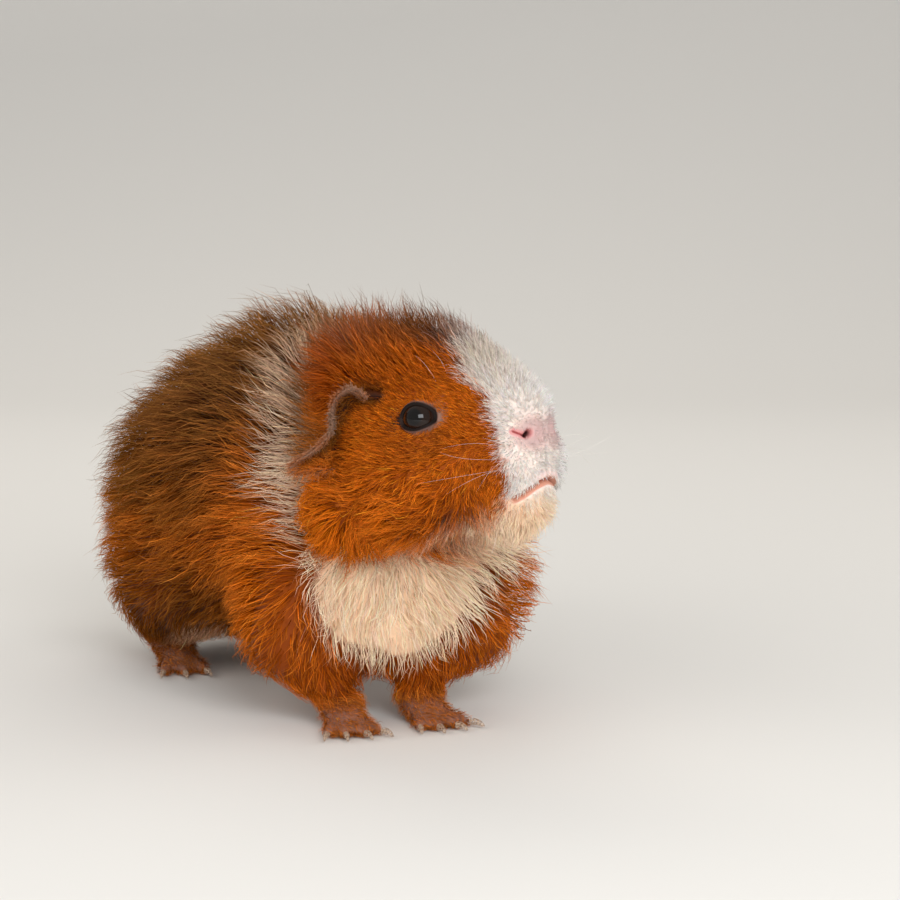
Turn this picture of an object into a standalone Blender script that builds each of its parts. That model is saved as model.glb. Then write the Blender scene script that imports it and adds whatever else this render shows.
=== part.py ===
"""A life-size guinea pig: a still model that stands on four feet, its head raised and turned to its left.

The solids reach to the tips of the coat. X runs forward along the trunk, Y to the animal's left, Z up.
Z = 0 is the floor, and the origin is the middle of the bottom of the whole model's box.
"""
import math

import bmesh
import bpy
from mathutils import Matrix, Vector

MM = 0.001
GAP = 0.3 * MM                      # the gap between touching solids

# ---- driving dimensions ------------------------------------------------------------------------
EYE_HEIGHT = 97.5                   # mm, the middle between the eyes, above the floor
HEAD_FORWARD = 90
HEAD_LEFT = 10
HEAD_TURN = math.radians(30)        # to the animal's left
HEAD_LIFT = math.radians(16)        # above its level carriage

EYE_RADIUS = 5.3
EYE_PLACE = (-1.2, 14.3, -1.2)      # the left eyeball's centre, in the head's frame
EAR_THICKNESS = 1.5
EAR_CUP = 2.5                       # how far the ear's sheet bows between root and rim
EAR_CUP_WAY = Vector((-1, 0.2, 0))  # and which way: back and a little outward
EAR_COLUMNS = 16
EAR_ROWS = 5

FOREFOOT_FORWARD = 58
FOREFOOT_SIDES = (13, -12.5)        # left and right of the trunk's axis
HINDFOOT_FORWARD = -50
HINDFOOT_SIDE = 31
HINDFOOT_TOE_OUT = math.radians(10)
FOREFOOT_TOE_OUT = math.radians(6)
WRIST_HEIGHT = 8.5                  # where the leg ends and the foot begins
ANKLE_HEIGHT = 9

CLAW_LENGTH = 5.5
CLAW_RADIUS = 1.25
CLAW_TIP_RADIUS = 0.3
CLAW_SIDES = 6
CLAW_RINGS = 4
CLAW_RISE = 0.25                    # how steeply it leaves the toe
CLAW_BEND = math.radians(48)        # how far it has turned down at its tip
CLAW_TAPER = 0.6
CLAW_FLATNESS = 0.85                # its width as a share of its height
CLAW_SEAT = 0.45                    # its seat, in radii beyond the toe's end
TOE_TRIM = 4                        # the length and radius of the round toe end cut off at the seat
TOE_TRIM_RADIUS = 2.4
TOE_TRIM_SIDES = 12
TOE_DROP = 0.06                     # how gently a toe slopes down
TOE_STEP_BACK = 0.12                # how much shorter each toe is than the one inside it

LEG_DRUM_DEPTH = 80
LEG_DRUM_SIDES = 32

BODY_VOXEL = 2.2 * MM
FOOT_VOXEL = 0.8 * MM
TRUNK_ROUNDS = 70                   # rounds of smoothing where forms run together
FOLD_ROUNDS = 40
HEAD_ROUNDS = 12
NAPE_ROUNDS = 16
FOOT_ROUNDS = 4
EYE_SEGMENTS = (18, 10)
BODY_TRIANGLES = 3200
FOOT_TRIANGLES = 210
CREASE = math.radians(50)           # edges sharper than this are shaded as creases

COAT_ORANGE = (0.52, 0.19, 0.05)
COAT_BROWN = (0.33, 0.15, 0.06)
COAT_CREAM = (0.80, 0.66, 0.48)
SKIN_PINK = (0.62, 0.36, 0.30)
EYE_DARK = (0.02, 0.015, 0.012)
CLAW_HORN = (0.42, 0.32, 0.24)
FINISHES = {
    "head": (COAT_ORANGE, 0.85), "neck": (COAT_CREAM, 0.85), "trunk": (COAT_BROWN, 0.85),
    "ear": (SKIN_PINK, 0.6), "eye": (EYE_DARK, 0.08), "claw": (CLAW_HORN, 0.45),
    "foreleg": (COAT_ORANGE, 0.85), "hindleg": (COAT_ORANGE, 0.85),
    "forefoot": (SKIN_PINK, 0.6), "hindfoot": (SKIN_PINK, 0.6),
}

# Each form is a centre and three radii, in millimetres; a side form is made on both sides.
TRUNK_FORMS = {
    "rump": ((-61, -2, 54), (54, 49, 47)),
    "loin": ((-41, -1, 60), (54, 54, 51)),
    "ribs": ((-13, 0, 66), (50, 50, 58)),
    "shoulders": ((22, 4, 60), (44, 46, 51)),
    "withers": ((18, 1, 83), (44, 34, 38)),
    "chest": ((45, 11, 51), (35, 46, 39)),
    "nape": ((44, 3, 86), (31, 26, 36)),
    "left_arm": ((44, 35, 33), (22, 19, 25)),
    "right_arm": ((46, -27, 36), (22, 18, 27)),
    "left_thigh": ((-46, 34, 37), (38, 20, 29)),
    "right_thigh": ((-46, -36, 37), (38, 20, 29)),
}
# The furred lengths of leg under the trunk: upper end, its radius, and the radius at wrist or ankle.
FORELEG = ((46, 25, 34), 14, 7.5)
HINDLEG = ((-36, 34, 26), 15, 9)
WRIST_BEHIND = 3                    # how far the wrist and the ankle lie behind the foot's middle
ANKLE_BEHIND = 12
JOINT_SINK = 2                      # how far the leg's form runs down into the foot

# The fold behind the left ear, where the turned head meets the shoulder, in the head's frame.
LEFT_FOLD = ((-31, 43, 4), (20, 23, 24))

# Feet, in their own frame: the forms of palm and heel, and the toes as their angles, how far forward
# they root, their length, their spread, the radius at root and tip, and their height.
FOREFOOT_FORMS = (((-3, 0, 8), (7.2, 6.6, 8)), ((2, 0, 3.2), (8.5, 6.4, 4.2)))
FOREFOOT_TOES = ((-22, -8, 7, 21), 7, 8.5, 3.6, 2.3, 1.9, 2.2)
HINDFOOT_FORMS = (((-12, 0, 9), (9, 8, 10)), ((-13, 0, 3.6), (7, 5.6, 4.4)), ((-1, 0, 3.4), (17, 6.2, 4.4)))
HINDFOOT_TOES = ((-13, 0, 13), 11, 11, 4.4, 2.7, 2.1, 2.4)

# The head's forms, from the middle between the eyes: forward, left and up in the head's own frame.
HEAD_FORMS = {
    "cranium": ((-14, 0, 6), (25, 18.5, 26)),
    "crest": ((-9, 0, 14), (23, 16, 20)),
    "nose": ((21, 0, -13), (11, 10, 12)),
    "chin": ((11, 0, -30), (17, 12, 12)),
    "nape": ((-29, 0, 5), (26, 22, 31)),
}
HEAD_SIDE_FORMS = {
    "whisker_pad": ((17, 6, -19), (13, 11, 11)),
    "cheek": ((-3, 11, -16), (20, 13, 15)),
    "jowl": ((-15, 16, -21), (23, 17, 21)),
}
# The furred back of the jowl on the right, where the turned head opens the neck.
RIGHT_RUFF = ((-32, -17, -22), (18, 16, 16))
BRIDGE = ((4, 0, 11), (19, 0, -5), 13.5)      # the nasal bridge: two ends and a radius

# The ear's outer edge and its root, from the front of the top round to the bottom, on the left side.
EAR_RIM = ((-13.5, 20, 8.3), (-16, 23, 11.9), (-20.5, 26, 9.9), (-22.6, 27, 4.7), (-23, 28, 0.5),
           (-28.1, 32, -3.7), (-33.9, 35, -5.7), (-34.5, 33.5, -8.1), (-27.5, 27, -9.4))
EAR_ROOT = ((-13.5, 15, 8), (-19, 15, 9.5), (-22.5, 15, 8.5), (-25.1, 15, 3.1), (-25.8, 16, -3),
            (-23, 17, -8))

# Where the head and the neck are parted: a point and the way forward, in the head's frame and the model's.
HEAD_CUT = ((-30, 0, 0), (0.91, 0, 0.42))
NECK_CUT = ((79, 12, 54), (0.60, 0.36, 0.715))

# A leg is parted from the trunk by an oval drum that lies on its side: the middle of its inner end,
# its half length and half height, and how far its outer end tips down.
FORELEG_DRUM = ((50, 17, 24), (25, 34), math.radians(34))
HINDLEG_DRUM = ((-48, 20, 26), (36, 38), math.radians(25))


def head_matrix():
    """The head's frame: forward, left and up, placed in the model's frame."""
    place = Matrix.Translation(Vector((HEAD_FORWARD, HEAD_LEFT, EYE_HEIGHT)) * MM)
    turn = Matrix.Rotation(HEAD_TURN, 4, "Z")
    lift = Matrix.Rotation(-HEAD_LIFT, 4, "Y")
    return place @ turn @ lift


def clear_scene():
    for item in list(bpy.data.objects):
        bpy.data.objects.remove(item, do_unlink=True)


def material(name, colour, roughness):
    made = bpy.data.materials.new(name)
    made.use_nodes = True
    shader = made.node_tree.nodes["Principled BSDF"]
    shader.inputs["Base Color"].default_value = (*colour, 1.0)
    shader.inputs["Roughness"].default_value = roughness
    return made


# ---- building blocks -----------------------------------------------------------------------------
def add_ellipsoid(bm, centre, radii, frame=Matrix.Identity(4), detail=4):
    """An ellipsoid in millimetres, in the given frame."""
    scale = Matrix.Diagonal((*[r * MM for r in radii], 1))
    place = frame @ Matrix.Translation(Vector(centre) * MM) @ scale
    bmesh.ops.create_icosphere(bm, subdivisions=detail, radius=1, matrix=place)


def add_limb(bm, start, end, start_radius, end_radius, frame=Matrix.Identity(4), steps=7):
    """A tapered round limb between two points: a row of overlapping balls."""
    for step in range(steps):
        t = step / (steps - 1)
        centre = Vector(start).lerp(Vector(end), t)
        radius = start_radius + (end_radius - start_radius) * t
        add_ellipsoid(bm, centre, (radius,) * 3, frame, 3)


def mirrored(point, side):
    return (point[0], point[1] * side, point[2])


def new_object(name, bm):
    mesh = bpy.data.meshes.new(name)
    bm.to_mesh(mesh)
    bm.free()
    made = bpy.data.objects.new(name, mesh)
    bpy.context.collection.objects.link(made)
    return made


def settle(item):
    """Replace an object's mesh by what its modifiers make of it."""
    bpy.context.view_layer.update()
    evaluated = item.evaluated_get(bpy.context.evaluated_depsgraph_get())
    mesh = bpy.data.meshes.new_from_object(evaluated)
    item.modifiers.clear()
    item.data = mesh


def melt(item, voxel, rounds):
    """Run overlapping forms together into one smooth closed skin."""
    remesh = item.modifiers.new("melt", "REMESH")
    remesh.mode = "VOXEL"
    remesh.voxel_size = voxel
    smooth = item.modifiers.new("smooth", "SMOOTH")
    smooth.factor = 0.5
    smooth.iterations = rounds
    settle(item)


def thin_out(item, triangles):
    """Bring a mesh down to about so many triangles."""
    item.data.calc_loop_triangles()
    reduce = item.modifiers.new("thin", "DECIMATE")
    reduce.ratio = min(1.0, triangles / len(item.data.loop_triangles))
    settle(item)


def join(name, items):
    bm = bmesh.new()
    for item in items:
        bm.from_mesh(item.data)
        bpy.data.objects.remove(item, do_unlink=True)
    return new_object(name, bm)


def keep_side(item, point, normal):
    """Cut a mesh by a plane, keep the side that the normal points to, and close the cut."""
    bm = bmesh.new()
    bm.from_mesh(item.data)
    geometry = bm.verts[:] + bm.edges[:] + bm.faces[:]
    cut = bmesh.ops.bisect_plane(bm, geom=geometry, plane_co=Vector(point) * MM, plane_no=normal,
                                 clear_inner=True, dist=1e-7)
    edges = [part for part in cut["geom_cut"] if isinstance(part, bmesh.types.BMEdge)]
    bmesh.ops.holes_fill(bm, edges=edges)
    bmesh.ops.recalc_face_normals(bm, faces=bm.faces)
    bm.to_mesh(item.data)
    bm.free()


def copy_of(item, name):
    made = item.copy()
    made.data = item.data.copy()
    made.name = name
    bpy.context.collection.objects.link(made)
    return made


# ---- trunk, neck and head --------------------------------------------------------------------------
def add_leg_limbs(bm):
    """The furred lengths of leg that show under the trunk, down to the wrists and ankles."""
    for side, foot_side in zip((1, -1), FOREFOOT_SIDES):
        elbow, elbow_radius, wrist_radius = FORELEG
        wrist = (FOREFOOT_FORWARD - WRIST_BEHIND, foot_side, WRIST_HEIGHT - JOINT_SINK)
        add_limb(bm, mirrored(elbow, side), wrist, elbow_radius, wrist_radius)
        knee, knee_radius, ankle_radius = HINDLEG
        ankle = (HINDFOOT_FORWARD - ANKLE_BEHIND, HINDFOOT_SIDE * side, ANKLE_HEIGHT - JOINT_SINK)
        add_limb(bm, mirrored(knee, side), ankle, knee_radius, ankle_radius)


def make_trunk_mass():
    bm = bmesh.new()
    add_leg_limbs(bm)
    for centre, radii in TRUNK_FORMS.values():
        add_ellipsoid(bm, centre, radii)
    trunk = new_object("trunk_mass", bm)
    melt(trunk, BODY_VOXEL, TRUNK_ROUNDS)
    fold = bmesh.new()
    add_ellipsoid(fold, *LEFT_FOLD, head_matrix())
    cutter = as_cutter(new_object("left_fold", fold))
    cut_with(trunk, cutter, "DIFFERENCE")
    bpy.data.objects.remove(cutter, do_unlink=True)
    melt(trunk, BODY_VOXEL, FOLD_ROUNDS)
    return trunk


def make_head_mass():
    head = head_matrix()
    bm = bmesh.new()
    for centre, radii in HEAD_FORMS.values():
        add_ellipsoid(bm, centre, radii, head)
    for centre, radii in HEAD_SIDE_FORMS.values():
        for side in (1, -1):
            add_ellipsoid(bm, mirrored(centre, side), radii, head)
    add_ellipsoid(bm, RIGHT_RUFF[0], RIGHT_RUFF[1], head)
    add_limb(bm, BRIDGE[0], BRIDGE[1], BRIDGE[2], BRIDGE[2], head)
    mass = new_object("head_mass", bm)
    melt(mass, BODY_VOXEL, HEAD_ROUNDS)
    return mass


def make_body():
    body = join("body", (make_trunk_mass(), make_head_mass()))
    melt(body, BODY_VOXEL, NAPE_ROUNDS)
    return body


def cut_between(body, point, normal, names):
    """Part a mesh by one plane into the piece that the normal points to and the rest."""
    normal = Vector(normal).normalized()
    half_gap = normal * GAP / MM / 2
    front = copy_of(body, names[0])
    keep_side(front, Vector(point) + half_gap, normal)
    keep_side(body, Vector(point) - half_gap, -normal)
    body.name = names[1]
    return front, body


def leg_drum(name, shape, side, grow=0.0):
    """The space that a leg takes: an oval drum from inside the trunk out through its flank."""
    centre, (half_length, half_height), tip = shape
    place = Matrix.Translation(Vector(mirrored(centre, side)) * MM)
    outward = Matrix.Rotation(-tip * side, 4, "X") @ Matrix.Rotation(-math.pi / 2 * side, 4, "X")
    oval = Matrix.Diagonal(((half_length + grow) * MM, (half_height + grow) * MM, MM, 1))
    middle = Matrix.Translation((0, 0, LEG_DRUM_DEPTH / 2 - grow))
    bm = bmesh.new()
    bmesh.ops.create_cone(bm, cap_ends=True, segments=LEG_DRUM_SIDES, radius1=1, radius2=1,
                          depth=LEG_DRUM_DEPTH, matrix=place @ outward @ oval @ middle)
    return as_cutter(new_object(name, bm))


def as_cutter(item):
    item.hide_render = True
    item.display_type = "WIRE"
    return item


def cut_with(item, cutter, operation):
    boolean = item.modifiers.new("cut", "BOOLEAN")
    boolean.operation = operation
    boolean.solver = "EXACT"
    boolean.object = cutter
    settle(item)


def part_leg(trunk, name, shape, side, foot_height):
    """Take a leg off the trunk, down to the height where its foot begins."""
    leg = copy_of(trunk, name)
    snug = leg_drum(name + "_space", shape, side)
    wide = leg_drum(name + "_clearance", shape, side, GAP / MM)
    cut_with(leg, snug, "INTERSECT")
    cut_with(trunk, wide, "DIFFERENCE")
    keep_side(leg, (0, 0, foot_height + GAP / MM / 2), (0, 0, 1))
    for cutter in (snug, wide):
        bpy.data.objects.remove(cutter, do_unlink=True)
    return leg


# ---- feet and claws --------------------------------------------------------------------------------
def make_foot(name, frame, forms, toes, height):
    """A foot with its toes, its soles flat on the floor, and a claw at each toe's end."""
    bm = bmesh.new()
    for centre, radii in forms:
        add_ellipsoid(bm, centre, radii, frame)
    for toe in toes:
        add_limb(bm, toe["root"], toe["tip"], toe["root_radius"], toe["tip_radius"], frame)
    foot = new_object(name, bm)
    melt(foot, FOOT_VOXEL, FOOT_ROUNDS)
    thin_out(foot, FOOT_TRIANGLES)
    keep_side(foot, (0, 0, 0), (0, 0, 1))
    keep_side(foot, (0, 0, height - GAP / MM / 2), (0, 0, -1))
    claws = [make_claw(f"{name}_claw_{number + 1}", frame, toe, foot) for number, toe in enumerate(toes)]
    return [foot, *claws]


def make_toes(angles, root_forward, length, spread, root_radius, tip_radius, height):
    """Toes fanned about the foot's middle line."""
    toes = []
    for place, degrees in enumerate(angles):
        angle = math.radians(degrees)
        share = place - (len(angles) - 1) / 2
        reach = length * (1 - TOE_STEP_BACK * abs(share))
        root = Vector((root_forward * math.cos(angle * 0.5), share * spread, height))
        along = Vector((math.cos(angle), math.sin(angle), -TOE_DROP))
        toes.append({"root": root, "along": along, "tip": root + along * reach,
                     "root_radius": root_radius, "tip_radius": tip_radius})
    return toes


def make_claw(name, frame, toe, foot):
    """A curved, tapered claw that leaves the flat end of its toe and bends down to the floor."""
    along = toe["along"].normalized()
    side = Vector((0, 0, 1)).cross(along).normalized()
    start = toe["tip"] + along * toe["tip_radius"] * CLAW_SEAT
    flat_end(foot, frame, start, along)
    bm = bmesh.new()
    rings = []
    centre = start + along * GAP / MM
    heading = along + Vector((0, 0, CLAW_RISE))
    heading.normalize()
    step = CLAW_LENGTH / CLAW_RINGS
    for ring in range(CLAW_RINGS + 1):
        t = ring / CLAW_RINGS
        radius = CLAW_RADIUS * (1 - t) ** CLAW_TAPER + CLAW_TIP_RADIUS * t
        upward = side.cross(along if ring == 0 else heading)
        loop = []
        for corner in range(CLAW_SIDES):
            angle = 2 * math.pi * corner / CLAW_SIDES
            offset = side * math.cos(angle) * radius * CLAW_FLATNESS + upward * math.sin(angle) * radius
            loop.append(bm.verts.new(frame @ ((centre + offset) * MM)))
        rings.append(loop)
        centre = centre + heading * step
        heading = Matrix.Rotation(CLAW_BEND / CLAW_RINGS, 3, side) @ heading
    for low, high in zip(rings, rings[1:]):
        for corner in range(CLAW_SIDES):
            after = (corner + 1) % CLAW_SIDES
            bm.faces.new((low[corner], low[after], high[after], high[corner]))
    bm.faces.new(rings[0])
    bm.faces.new(rings[-1])
    bmesh.ops.recalc_face_normals(bm, faces=bm.faces)
    return new_object(name, bm)


def flat_end(foot, frame, start, along):
    """Cut a toe's round end flat, so that its claw meets it face to face."""
    turn = Vector((0, 0, 1)).rotation_difference(along).to_matrix().to_4x4()
    place = frame @ Matrix.Translation((start + along * TOE_TRIM / 2) * MM) @ turn
    bm = bmesh.new()
    radius = TOE_TRIM_RADIUS * MM
    bmesh.ops.create_cone(bm, cap_ends=True, segments=TOE_TRIM_SIDES, radius1=radius, radius2=radius,
                          depth=TOE_TRIM * MM, matrix=place)
    cutter = as_cutter(new_object("toe_trim", bm))
    cut_with(foot, cutter, "DIFFERENCE")
    bpy.data.objects.remove(cutter, do_unlink=True)


def make_forefeet():
    made = []
    for side, foot_side, label in zip((1, -1), FOREFOOT_SIDES, ("left", "right")):
        place = Matrix.Translation(Vector((FOREFOOT_FORWARD, foot_side, 0)) * MM)
        frame = place @ Matrix.Rotation(FOREFOOT_TOE_OUT * side, 4, "Z")
        toes = make_toes(*FOREFOOT_TOES)
        made += make_foot(f"forefoot_{label}", frame, FOREFOOT_FORMS, toes, WRIST_HEIGHT)
    return made


def make_hindfeet():
    made = []
    for side, label in ((1, "left"), (-1, "right")):
        place = Matrix.Translation(Vector((HINDFOOT_FORWARD, HINDFOOT_SIDE * side, 0)) * MM)
        frame = place @ Matrix.Rotation(HINDFOOT_TOE_OUT * side, 4, "Z")
        toes = make_toes(*HINDFOOT_TOES)
        made += make_foot(f"hindfoot_{label}", frame, HINDFOOT_FORMS, toes, ANKLE_HEIGHT)
    return made


# ---- eyes and ears ---------------------------------------------------------------------------------
def make_eye(name, side, head, frame):
    """An eyeball in a socket that fits it."""
    centre = Matrix.Translation(Vector(mirrored(EYE_PLACE, side)) * MM)
    place = frame @ centre @ Matrix.Rotation(math.pi / 2, 4, "X")
    balls = []
    for label, radius in ((name, EYE_RADIUS), ("socket", EYE_RADIUS + GAP / MM)):
        bm = bmesh.new()
        bmesh.ops.create_uvsphere(bm, u_segments=EYE_SEGMENTS[0], v_segments=EYE_SEGMENTS[1],
                                  radius=radius * MM, matrix=place)
        balls.append(new_object(label, bm))
    eye, socket = balls
    cut_with(head, as_cutter(socket), "DIFFERENCE")
    bpy.data.objects.remove(socket, do_unlink=True)
    return eye


def curve_points(points, count):
    """Evenly spread points on a smooth curve through the given ones."""
    nodes = [Vector(point) for point in points]
    nodes = [nodes[0] * 2 - nodes[1], *nodes, nodes[-1] * 2 - nodes[-2]]
    fine = []
    for index in range(1, len(nodes) - 2):
        before, start, end, after = nodes[index - 1:index + 3]
        for step in range(16):
            t = step / 16
            fine.append(0.5 * ((2 * start) + (end - before) * t
                               + (2 * before - 5 * start + 4 * end - after) * t * t
                               + (3 * start - before - 3 * end + after) * t ** 3))
    fine.append(nodes[-2])
    lengths = [0.0]
    for first, second in zip(fine, fine[1:]):
        lengths.append(lengths[-1] + (second - first).length)
    spread = []
    index = 0
    for number in range(count):
        wanted = lengths[-1] * number / (count - 1)
        while index < len(fine) - 2 and lengths[index + 1] < wanted:
            index += 1
        span = lengths[index + 1] - lengths[index]
        spread.append(fine[index].lerp(fine[index + 1], (wanted - lengths[index]) / span))
    return spread


def make_ear(name, side, flesh, frame):
    """A thin cupped ear: a sheet from its root to its rim, given its thickness and trimmed by the flesh."""
    rim = curve_points(EAR_RIM, EAR_COLUMNS)
    root = curve_points(EAR_ROOT, EAR_COLUMNS)
    bm = bmesh.new()
    grid = []
    for row in range(EAR_ROWS):
        t = row / (EAR_ROWS - 1)
        line = []
        for low, high in zip(root, rim):
            point = low.lerp(high, t) + EAR_CUP_WAY * EAR_CUP * math.sin(math.pi * t)
            line.append(bm.verts.new(frame @ (Vector(mirrored(point, side)) * MM)))
        grid.append(line)
    for low, high in zip(grid, grid[1:]):
        for column in range(EAR_COLUMNS - 1):
            bm.faces.new((low[column], low[column + 1], high[column + 1], high[column]))
    ear = new_object(name, bm)
    thick = ear.modifiers.new("thickness", "SOLIDIFY")
    thick.thickness = EAR_THICKNESS * MM
    thick.offset = 0
    settle(ear)
    for neighbour in flesh:
        clearance = as_cutter(copy_of(neighbour, "ear_clearance"))
        swell = clearance.modifiers.new("gap", "DISPLACE")
        swell.mid_level = 0
        swell.strength = GAP
        settle(clearance)
        cut_with(ear, clearance, "DIFFERENCE")
        bpy.data.objects.remove(clearance, do_unlink=True)
    keep_largest(ear)
    return ear


def keep_largest(item):
    """Keep only a mesh's largest connected piece."""
    bm = bmesh.new()
    bm.from_mesh(item.data)
    unseen = set(bm.verts)
    pieces = []
    while unseen:
        first = unseen.pop()
        piece = {first}
        growing = [first]
        while growing:
            for edge in growing.pop().link_edges:
                for vert in edge.verts:
                    if vert in unseen:
                        unseen.remove(vert)
                        piece.add(vert)
                        growing.append(vert)
        pieces.append(piece)
    largest = max(pieces, key=len)
    bmesh.ops.delete(bm, geom=[vert for vert in bm.verts if vert not in largest], context="VERTS")
    bmesh.ops.recalc_face_normals(bm, faces=bm.faces)
    bm.to_mesh(item.data)
    bm.free()


def finish(items):
    """Put the origin at the middle of the bottom of the model's box, and give each piece its material."""
    corners = [vert.co for item in items for vert in item.data.vertices]
    low = Vector(min(corner[axis] for corner in corners) for axis in range(3))
    high = Vector(max(corner[axis] for corner in corners) for axis in range(3))
    shift = Matrix.Translation(-Vector(((low.x + high.x) / 2, (low.y + high.y) / 2, low.z)))
    for item in items:
        item.data.transform(shift)
        item.data.shade_smooth()
        item.data.set_sharp_from_angle(angle=CREASE)
        item.data.materials.clear()
        kind = "claw" if "claw" in item.name else item.name.split("_")[0]
        colour, roughness = FINISHES[kind]
        item.data.materials.append(material(item.name + "_finish", colour, roughness))


def main():
    clear_scene()
    body = make_body()
    thin_out(body, BODY_TRIANGLES)
    head_frame = head_matrix()
    point = head_frame @ (Vector(HEAD_CUT[0]) * MM) / MM
    normal = head_frame.to_3x3() @ Vector(HEAD_CUT[1])
    head, rest = cut_between(body, point, normal, ("head", "rest"))
    neck, trunk = cut_between(rest, NECK_CUT[0], NECK_CUT[1], ("neck", "trunk"))
    pieces = [head, neck, trunk]
    for side, label in ((1, "left"), (-1, "right")):
        pieces.append(part_leg(trunk, f"foreleg_{label}", FORELEG_DRUM, side, WRIST_HEIGHT))
        pieces.append(part_leg(trunk, f"hindleg_{label}", HINDLEG_DRUM, side, ANKLE_HEIGHT))
        pieces.append(make_ear(f"ear_{label}", side, (head, neck, trunk), head_frame))
        pieces.append(make_eye(f"eye_{label}", side, head, head_frame))
    pieces += make_forefeet()
    pieces += make_hindfeet()
    finish(pieces)


main()
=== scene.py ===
"""The looks of the guinea pig: one skin inside the solids, and a coat of fine locks over it.

Lengths in this file are millimetres in the frame of the solids; a mesh is scaled to metres when it is made.
"""
import math

import bmesh
import bpy
import numpy as np
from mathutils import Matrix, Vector
from mathutils.bvhtree import BVHTree
from mathutils.kdtree import KDTree


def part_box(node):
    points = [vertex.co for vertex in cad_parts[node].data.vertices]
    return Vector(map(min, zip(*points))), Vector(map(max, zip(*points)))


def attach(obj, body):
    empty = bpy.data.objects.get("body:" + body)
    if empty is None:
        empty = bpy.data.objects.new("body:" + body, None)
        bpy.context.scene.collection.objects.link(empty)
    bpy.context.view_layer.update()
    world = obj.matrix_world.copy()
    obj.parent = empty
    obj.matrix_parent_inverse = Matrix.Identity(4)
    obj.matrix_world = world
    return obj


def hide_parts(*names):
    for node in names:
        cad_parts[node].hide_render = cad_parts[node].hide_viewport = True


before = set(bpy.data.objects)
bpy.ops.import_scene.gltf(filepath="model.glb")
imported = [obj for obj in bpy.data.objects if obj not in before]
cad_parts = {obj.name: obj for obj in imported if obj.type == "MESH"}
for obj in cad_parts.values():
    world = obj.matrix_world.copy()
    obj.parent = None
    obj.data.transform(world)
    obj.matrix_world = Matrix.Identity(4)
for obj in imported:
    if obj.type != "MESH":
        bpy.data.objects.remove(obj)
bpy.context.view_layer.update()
MM = 0.001
SIDES = {"left": 1, "right": -1}     # and the sign of places on that side
FLESH = ["head", "neck", "trunk"]
FLESH += [f"{part}_{side}" for part in ("foreleg", "hindleg", "forefoot", "hindfoot") for side in SIDES]

HEAD_LIFT = math.radians(16)
EYES_FORWARD, EYES_UP = -1.2, -1.2   # where the middle between the eyes lies in the head's frame
EYE_RADIUS = 5.3
LID_BACK, LID_FRONT = 5.5, 6.5       # the opening's corners, along the lids from its middle
LID_TOP, LID_BOTTOM = 3.95, 3.5      # its height above and below
VOXEL = 1.0
PATCH = 0.003                        # a hair's width on the map of skin and coat
TRIANGLES = 1_385_000                # of the coat without the ears
PIECE_TRIANGLES = 185_000
SHORT_HAIR = 6.5                     # hairs shorter than this have 2 lengths, the others 3


# ---- numbers
def ramp(low, high, value):
    """0 below low, 1 above high, and a smooth rise between them."""
    t = np.clip((value - low) / (high - low), 0, 1)
    return t * t * (3 - 2 * t)


def unit(vectors):
    return vectors / np.maximum(np.linalg.norm(vectors, axis=-1, keepdims=True), 1e-9)


def far(places, spot=(0, 0, 0), stretch=1):
    """How far each place lies from a spot; a stretch for each axis makes an ellipsoid's surface 1."""
    return np.linalg.norm((places - spot) / stretch, axis=-1)


def mix(first, second, weight):
    """Between two values or colours, by a weight for each point."""
    first, second = np.asarray(first, float), np.asarray(second, float)
    weight = np.asarray(weight, float)
    if 3 in first.shape[-1:] + second.shape[-1:]:
        weight = weight[..., None]
    return first + (second - first) * weight


def lay_over(ground, *layers):
    """Lay colours over a ground one after another, each with its weight for each point."""
    for tint, weight in layers:
        ground = mix(ground, tint, weight)
    return ground


def noise(points, size, seed=0):
    """Smooth noise from -1 to 1, with features about so many millimetres across."""
    place = points / size + seed * 17.31
    cell = np.floor(place).astype(np.int64)
    within = place - cell
    within = within * within * (3 - 2 * within)
    total = np.zeros(len(points))
    for corner in range(8):
        step = np.array([corner & 1, corner >> 1 & 1, corner >> 2 & 1])
        across, along, up = (cell + step).T
        mixed = (across * 73856093) ^ (along * 19349663) ^ (up * 83492791) ^ (seed * 2654435)
        mixed = ((mixed ^ (mixed >> 13)) * 1274126177) & 0x7FFFFFFF
        total += (mixed / 0x3FFFFFFF - 1) * np.where(step, within, 1 - within).prod(1)
    return total


# ---- the head's frame
def middle_of(node):
    low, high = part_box(node)
    return np.array((low + high) / 2) / MM


EYES = {side: middle_of("eye_" + side) for side in SIDES}
LEFTWARD = unit(EYES["left"] - EYES["right"])
LEVEL = np.cross(LEFTWARD, (0, 0, 1))
FORWARD = LEVEL * math.cos(HEAD_LIFT) + np.array((0, 0, 1)) * math.sin(HEAD_LIFT)
UPWARD = np.cross(FORWARD, LEFTWARD)
HEAD_AXES = np.array((FORWARD, LEFTWARD, UPWARD))
HEAD_PLACE = (EYES["left"] + EYES["right"]) / 2 - FORWARD * EYES_FORWARD - UPWARD * EYES_UP

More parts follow.
